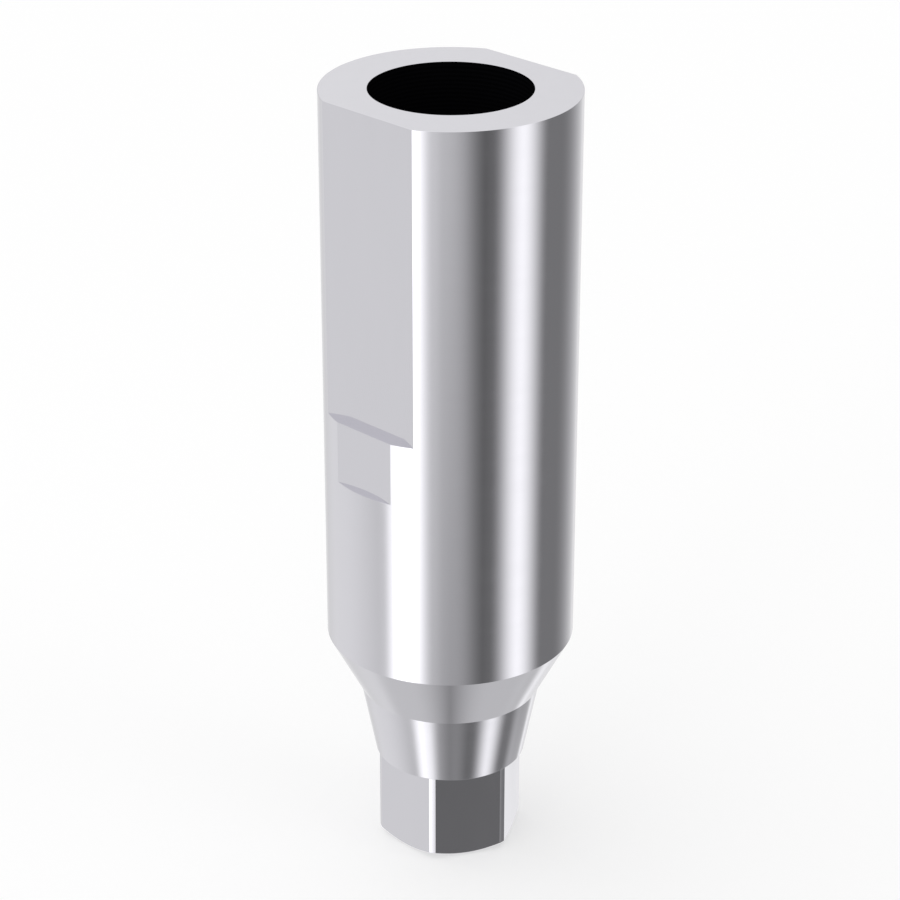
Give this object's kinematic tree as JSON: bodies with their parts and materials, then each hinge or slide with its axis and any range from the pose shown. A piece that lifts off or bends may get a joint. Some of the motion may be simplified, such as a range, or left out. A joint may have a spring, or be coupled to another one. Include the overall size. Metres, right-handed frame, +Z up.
{
  "type": "dental scan body",
  "caption": "One-piece titanium post that marks an implant's place and turn for scanning: a cylinder with opposite flats, one of them stepped, a screw bore, a seat cone and an index hexagon.",
  "frame": {"origin": "middle of the hexagon's end face, the lowest face of the post", "axes": "+Z up the post's axis from the hexagon to the head's top face; -Y out of the stepped flat"},
  "size_m": [0.0046, 0.0046, 0.0152],
  "materials": {
    "polished_titanium": "polished titanium alloy, turned and milled; the screw channel is dark"
  },
  "bodies": {
    "root": {"scan_body": "polished_titanium"}
  },
  "joints": []
}
